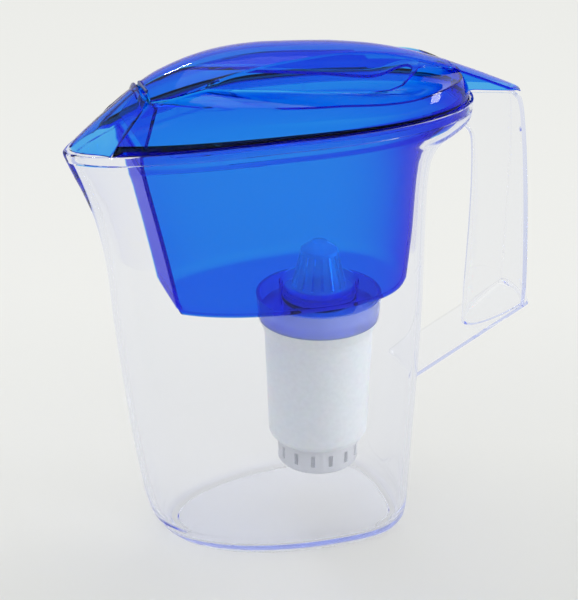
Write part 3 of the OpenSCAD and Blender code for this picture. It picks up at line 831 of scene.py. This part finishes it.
# %% Partition beside the spout
PLATE = [(-66.3, 246.7), (-68.1, 246.7), (-76.2, 231), (-75, 230.2)]
PLATE_TOP = 246.7
PLATE_N = 25
plate_points, plate_faces = [], []
for j, (x, z) in enumerate(PLATE):
    w = mix(line_at(FLAP, x, 1) + 3, half_at(rim_shape(2.2), x), clamp((PLATE_TOP - z) / 15) ** 1.3)
    plate_points += [(x, -w + 2 * w * i / (PLATE_N - 1), z) for i in range(PLATE_N)]
    a, b = j * PLATE_N, ((j + 1) % len(PLATE)) * PLATE_N
    plate_faces += [(a + i, a + i + 1, b + i + 1, b + i) for i in range(PLATE_N - 1)]
corners = [j * PLATE_N for j in range(len(PLATE))]
plate_faces += [tuple(corners), tuple(c + PLATE_N - 1 for c in reversed(corners))]
partition = make_object("lid_partition", plate_points, plate_faces)
tie(partition, lid_plastic, "lid")

# %% [markdown]
# ## The two flaps
#
# Both flaps are arched covers: an arch over the top, and side walls that drop to the shelf. Rings
# set across the pitcher, from front to rear, are joined in the same way as before. A subdivided box
# could be bent to the same form, but rings read from the tables keep the gap to the lid even.

# %% One ring of an arched cover
ARCH = 14
SHEAR_Z = 248.4
SHEAR_RUN = 2.4


def arch_ring(x, ridge, w0, edge, w, low, t, shear=0):
    over = [(-w0 * i / ARCH, ridge - (ridge - edge) * (i / ARCH) ** 2) for i in range(-ARCH, ARCH + 1)]
    under = [(y * (w0 - t) / w0, z - t) for y, z in over]
    mid, mid_z = mix(w0, w, 0.5), mix(edge, low, 0.5)
    in_z = min(mid_z, edge - t)
    outer = [(w, low), (mid, mid_z)] + over + [(-mid, mid_z), (-w, low)]
    inner = [(w - t, low), (mid - t, in_z)] + under + [(t - mid, in_z), (t - w, low)]
    return [(x - shear * clamp((z - SHEAR_Z) / SHEAR_RUN), y, z) for y, z in fold(outer, inner)]


print("one ring has", len(arch_ring(0, 268, 16, 264, 20, 250, T)), "points")

# %% Flip lid
flip_x = steps(-69.2, -56, 10) + steps(-56, 48, 50) + steps(48, 90, 42) + [90]
flip_rings = []
for x in flip_x:
    strip = [curve(STRIP, x, c) for c in (1, 2, 3)]
    flip_rings.append(arch_ring(x, *strip, line_at(SKIRT, x, 1), line_at(SKIRT, x, 2), T))
flip = skin("flip_lid_smooth", flip_rings, folded=True, sharp_deg=30)
tie(flip, lid_plastic, "flip", "flip_lid")

# %% [markdown]
# The spout flap has two parts. Behind its shoulder it follows the table of the nose. In front of it
# the cover widens to the jug's rim and sinks to a flat tip. A few close rings at the very end round
# it off. The last ring leans forward, so that its top clears the flip lid's front edge.

# %% Spout flap
rim = rim_shape(0)
shoulder_x, shoulder_z, shoulder_w, shoulder_edge = NOSE[0]
TIP_X, TIP_Z = -110, 224.6


def flap_row(x):
    if x >= shoulder_x:
        ridge, w, edge = (line_at(NOSE, x, c) for c in (1, 2, 3))
        return ridge, w, edge, edge - 1.2
    u = (x - shoulder_x) / (TIP_X - shoulder_x)
    side = half_at(rim, x)
    w = min(side, mix(shoulder_w, side, clamp(u * 4)))
    edge = mix(shoulder_edge, RIM_Z - dip(x, RIM_Z) + 2.4, clamp(u * 2.5))
    return mix(shoulder_z, TIP_Z, u**0.92), w, edge, edge - 1


flap_x = [-107.2, -106.6, -105.6] + steps(-104.5, -91.4, 16) + steps(-91.4, -74.2, 20) + [-74.2, -69.9]
flap_rings = []
for x in flap_x:
    ridge, w, edge, low = flap_row(x)
    shear = 3.2 if x == flap_x[-1] else 0
    flap_rings.append(arch_ring(x, ridge, w, edge, w + 0.05, low, min(T, w * 0.45), shear))
flap = skin("spout_flap_smooth", flap_rings, folded=True, sharp_deg=30)
tie(flap, lid_plastic, "flap", "spout_flap")
outer = 2 * ARCH + 5
# The flap's lower edges get the same painted shade.
darken_edge(flap, 2 * outer, (0, outer - 2, outer - 1, 2 * outer - 1))

# %% [markdown]
# ## The handle
#
# The handle is a hollow well: a leaf-shaped wall round the finger side, an outer face from corner to
# corner, and a slanted plate below that carries it back to the jug. Each row of the table is one
# slice, given by its end at the fingers and its end at the outer face. The slices tilt on the way
# up, so that the top one lies along the well's slanting rim. The jug's own outline, a little
# smaller, cuts away what would reach into the jug.

# %% Slices of the handle
# x and height of the end at the fingers, then of the end at the outer face.
GRIP = [
    [99.5, 214, 101, 234.2], [102, 212.4, 112, 233.1], [104, 209.6, 122, 231.7],
    [105.2, 206, 127.6, 230.4], [105.8, 201, 129.6, 226.5], [106.3, 192, 131, 218],
    [106.6, 178, 132.6, 200], [106.5, 160, 133.8, 175], [106, 140, 134.4, 148],
    [105.4, 120, 134.4, 128], [105.2, 107, 134, 118], [105, 98.9, 133.6, 114.1],
]
GRIP_T = 2.0
GRIP_TABLE = [[i] + row for i, row in enumerate(GRIP)]


def grip_row(v):
    return [curve(GRIP_TABLE, v, c) for c in (1, 2, 3, 4)]


def grip_half(z):
    return mix(16.4, 8.6, clamp((z - 115) / 115))


def grip_bulge(z):
    return mix(3.7, 0.5, clamp((z - 120) / 110))


def grip_length(row):
    return math.hypot(row[2] - row[0], row[3] - row[1])


def grip_point(row, d, y):
    f = d / grip_length(row)
    return mix(row[0], row[2], f), y, mix(row[1], row[3], f)


print("the handle is", 2 * grip_half(115), "mm wide below and", 2 * grip_half(230), "mm above")


# %% Walls of the handle
def grip_leaf(row, t, m=16):
    ring = []
    for i in range(-m, m + 1):
        a = math.pi / 2 * i / m
        d = t + (grip_length(row) - t) * (1 - max(0, math.cos(a)) ** 1.25)
        ring.append(grip_point(row, d, (grip_half(row[3]) - t) * signed_power(math.sin(a), 0.9)))
    return ring


def grip_face(row, t, m=8):
    ring = []
    for j in range(m, -m - 1, -1):
        d = grip_length(row) - 0.3 - t + grip_bulge(row[3]) * (1 - (j / m) ** 2)
        ring.append(grip_point(row, d, (grip_half(row[3]) - 0.6) * j / m))
    return ring


def grip_skin(name, outline, first, n):
    last = len(GRIP) - 1
    rows = [grip_row(v) for v in steps(first, last, n)] + [GRIP[-1]]
    return skin(name, [fold(outline(row, 0), outline(row, GRIP_T)) for row in rows], folded=True)


walls = grip_skin("handle_walls", grip_leaf, 0, 66)
combine(walls, grip_skin("handle_face", grip_face, 3, 48), "UNION")

# %% Cut the handle to the jug
CUT_INSET = 0.3


def jug_cutter():
    rings = [jug_ring(z, CUT_INSET) for z in steps(60, 234.5, 60)] + [jug_rim(CUT_INSET, 240)]
    return skin("jug_cutter", rings)


combine(walls, jug_cutter(), "DIFFERENCE")
tie(walls, clear_plastic, "jug", "handle_grip")

# %% [markdown]
# ## The foot of the handle
#
# A flat slanting plate closes the handle below and meets the jug. Its outer end is rounded and
# follows the outer face. It is a flat outline given a thickness, laid along the line between two
# chosen points, and cut by the jug as before.

# %% Foot of the handle
STRUT_LOW, STRUT_HIGH = (70, 80.5), (134, 114.6)
STRUT_HALF = 16.7
STRUT_T = 2
STRUT_END = 4
run = math.dist(STRUT_LOW, STRUT_HIGH)
cos_a, sin_a = (STRUT_HIGH[0] - STRUT_LOW[0]) / run, (STRUT_HIGH[1] - STRUT_LOW[1]) / run


def strut_ring(w, m=24):
    outline = [(-STRUT_END, -STRUT_HALF)]
    for i in range(-m, m + 1):
        a = math.pi / 2 * i / m
        outline.append((run + STRUT_END * math.cos(a), STRUT_HALF * math.sin(a)))
    outline.append((-STRUT_END, STRUT_HALF))
    x0, z0 = STRUT_LOW
    return [(x0 + u * cos_a - w * sin_a, y, z0 + u * sin_a + w * cos_a) for u, y in outline]


strut = skin("handle_strut_smooth", [strut_ring(-STRUT_T), strut_ring(0)])
combine(strut, jug_cutter(), "DIFFERENCE")
tie(strut, clear_plastic, "jug", "handle_strut")

# %% [markdown]
# ## Pieces that keep their CAD solids
#
# The cartridge and the pin are turned from straight lines and arcs, which the CAD model has
# exactly, so these pieces only need a finish.

# %% Finishes of the CAD pieces
finishes = {
    "hinge_pin": pin_steel,
    "cartridge_body": white_plastic,
    "cartridge_collar": collar_painted_blue_light,
    "neck_seal": seal_rubber,
    "intake_strainer": strainer_plastic,
    "top_pad": felt_pad,
    "sorbent_bed": granules,
    "bottom_pad": felt_pad,
    "outlet_cap": cap_plastic,
}
for name, material in finishes.items():
    for piece_slot in nodes[name].material_slots:
        piece_slot.material = material
print("dressed", len(finishes), "CAD pieces")

# %% [markdown]
# ## The ground
#
# The pitcher stands in a studio on a pale ground, and the floor's tone is painted a little darker
# towards the front, which is painted shade. The floor's colour comes in two shares. One is a real
# matt surface, which takes the pitcher's shadow.
# The other is a plain pale tone, seen only by the camera, in reflections and through the plastic.
# The tone is read from a few distances along the floor. The floor has no gloss at all, because a
# lamp's reflection in it would show as a bright patch from low angles.

# %% Pale ground
AWAY = (0.31, 0.95, 0)
# Distance in metres along the floor away from the front, and the tone there; the darker tones at the
# front are painted shade.
FLOOR_TONES_AND_SHADE = [(-0.12, 0.66), (-0.03, 0.72), (0.07, 0.81), (0.27, 0.87), (1.2, 0.86)]
WARMTH = 0.975


# Paints shade: the floor's plain tone darkens towards the front.
def tone_and_shade_ramp(tree):
    first, last = FLOOR_TONES_AND_SHADE[0][0], FLOOR_TONES_AND_SHADE[-1][0]
    where = add_node(tree, "TexCoord")
    depth = add_node(tree, "VectorMath", operation="DOT_PRODUCT")
    set_sockets(depth, {1: AWAY})
    span = add_node(tree, "MapRange")
    set_sockets(span, {"From Min": first, "From Max": last})
    ramp = add_node(tree, "ValToRGB")
    stops = ramp.color_ramp.elements
    while len(stops) < len(FLOOR_TONES_AND_SHADE):
        stops.new(0.5)
    for stop, (d, v) in zip(stops, FLOOR_TONES_AND_SHADE):
        stop.position = (d - first) / (last - first)
        stop.color = (v, v, v * WARMTH, 1)
    wire(
        tree,
        (where.outputs["Object"], depth.inputs[0]),
        (depth.outputs["Value"], span.inputs["Value"]),
        (span.outputs["Result"], ramp.inputs["Fac"]),
    )
    return ramp.outputs["Color"]


def pale_ground(name, color, plain):
    sockets = {"Base Color": (*color, 1), "Roughness": 1, "Specular IOR Level": 0}
    material, tree, shader = new_material(name, sockets)
    glow = add_node(tree, "Emission")
    path = add_node(tree, "LightPath")
    seen = add_node(tree, "Math", operation="MAXIMUM")
    also = add_node(tree, "Math", operation="MAXIMUM")
    part = add_node(tree, "Math", operation="MULTIPLY")
    set_sockets(part, {1: plain})
    mixed = add_node(tree, "MixShader")
    wire(
        tree,
        (tone_and_shade_ramp(tree), glow.inputs["Color"]),
        (path.outputs["Is Camera Ray"], seen.inputs[0]),
        (path.outputs["Is Glossy Ray"], seen.inputs[1]),
        (seen.outputs[0], also.inputs[0]),
        (path.outputs["Is Transmission Ray"], also.inputs[1]),
        (also.outputs[0], part.inputs[0]),
        (part.outputs[0], mixed.inputs[0]),
        (shader.outputs[0], mixed.inputs[1]),
        (glow.outputs[0], mixed.inputs[2]),
        (mixed.outputs[0], tree.nodes["Material Output"].inputs["Surface"]),
    )
    return material


# %% Floor
FLOOR_SIZE = 60
PLAIN_SHARE = 0.6
floor_mesh = bpy.data.meshes.new("floor")
s = FLOOR_SIZE / 2
floor_mesh.from_pydata([(-s, -s, 0), (s, -s, 0), (s, s, 0), (-s, s, 0)], [], [(0, 1, 2, 3)])
floor = bpy.data.objects.new("floor", floor_mesh)
bpy.context.scene.collection.objects.link(floor)
dress(floor, pale_ground("pale ground", (0.84, 0.845, 0.82), PLAIN_SHARE))
print("the floor is", FLOOR_SIZE, "m wide")

# %% [markdown]
# ## World and lamps
#
# Most of the light comes from the whole pale sky, as in a studio lined with white. The camera sees
# a slightly darker backdrop, which meets the floor's far tone without a clear horizon line. A weak
# soft lamp stands above and one on the left. The last two lamps are only there for highlights on
# the lid: one for the white mark on the skirt near the handle, one for the streak at the flip lid's
# front end. Each stands where the camera's line of sight is mirrored by the plastic. They don't
# light matt surfaces, and nothing sees them through the plastic, where they would spoil the floor.

# %% World
world = bpy.data.worlds.new("studio")
bpy.context.scene.world = world
world.use_nodes = True
sky = world.node_tree.nodes["Background"]
set_sockets(sky, {"Color": (0.93, 0.94, 0.92, 1), "Strength": 0.95})
backdrop = add_node(world.node_tree, "Background")
set_sockets(backdrop, {"Color": (0.82, 0.823, 0.8, 1)})
sight = add_node(world.node_tree, "LightPath")
either = add_node(world.node_tree, "MixShader")
wire(
    world.node_tree,
    (sight.outputs["Is Camera Ray"], either.inputs[0]),
    (sky.outputs[0], either.inputs[1]),
    (backdrop.outputs[0], either.inputs[2]),
    (either.outputs[0], world.node_tree.nodes["World Output"].inputs["Surface"]),
)
print("the sky has strength", round(sky.inputs["Strength"].default_value, 2))


# %% Lamps
def turn_to(obj, away):
    obj.rotation_euler = Vector(away).to_track_quat("Z", "Y").to_euler()


def area(name, where, aim, size, watts):
    light = bpy.data.lights.new(name, "AREA")
    light.shape = "RECTANGLE"
    light.size, light.size_y = size
    light.energy = watts
    lamp = bpy.data.objects.new(name, light)
    lamp.location = where
    turn_to(lamp, [w - a for w, a in zip(where, aim)])
    bpy.context.scene.collection.objects.link(lamp)
    print(name, watts, "W")
    return lamp


area("top", (0.1, 0.25, 1.3), (0, 0, 0.1), (0.9, 0.6), 2.5)
area("left", (-1.0, -0.3, 0.8), (0, 0, 0.15), (0.5, 0.9), 0.8)
streaks = [
    area("streak right", (0.95, -0.44, 0.33), (0.05, -0.04, 0.24), (0.18, 0.6), 7),
    area("streak above", (-0.16, 0.94, 1.02), (-0.065, 0, 0.262), (0.16, 0.06), 1.2),
]
for lamp in streaks:
    lamp.visible_diffuse = False
    lamp.visible_transmission = False
    lamp.visible_volume_scatter = False

# %% [markdown]
# ## Camera
#
# The camera stands where the photograph's camera stood, found from the outlines of the foot and the
# rim. Its focal length was found in pixels, so it is turned into millimetres by the height of the
# photograph. Light that is caught inside a clear wall bounces many times before it leaves, and each
# bounce inside counts as a reflection. With the usual four bounces such places turn black.

# %% Camera
FOCAL_PX = 1907.34
PHOTO_PX = 600
SENSOR_MM = 36
AZIMUTH, ELEVATION = math.radians(-18.047), math.radians(25.2625)
DISTANCE = 1.00233
TARGET = (-0.00802, 0, 0.12722)
level = math.cos(ELEVATION)
back = (math.sin(AZIMUTH) * level, -math.cos(AZIMUTH) * level, math.sin(ELEVATION))
lens = bpy.data.cameras.new("camera")
lens.sensor_width = SENSOR_MM
lens.lens = SENSOR_MM * FOCAL_PX / PHOTO_PX
lens.clip_start = 0.05
camera = bpy.data.objects.new("camera", lens)
camera.location = [t + b * DISTANCE for t, b in zip(TARGET, back)]
turn_to(camera, back)
bpy.context.scene.collection.objects.link(camera)
bpy.context.scene.camera = camera
print("the lens has", round(lens.lens, 2), "mm")

# %% View and bounces
BOUNCES = 128
CLEAR_WALLS = 32
bpy.context.scene.view_settings.view_transform = "Standard"
cycles = bpy.context.scene.cycles
cycles.max_bounces = BOUNCES
cycles.transmission_bounces = BOUNCES
cycles.glossy_bounces = BOUNCES
cycles.transparent_max_bounces = CLEAR_WALLS
print("light may bounce", cycles.max_bounces, "times")
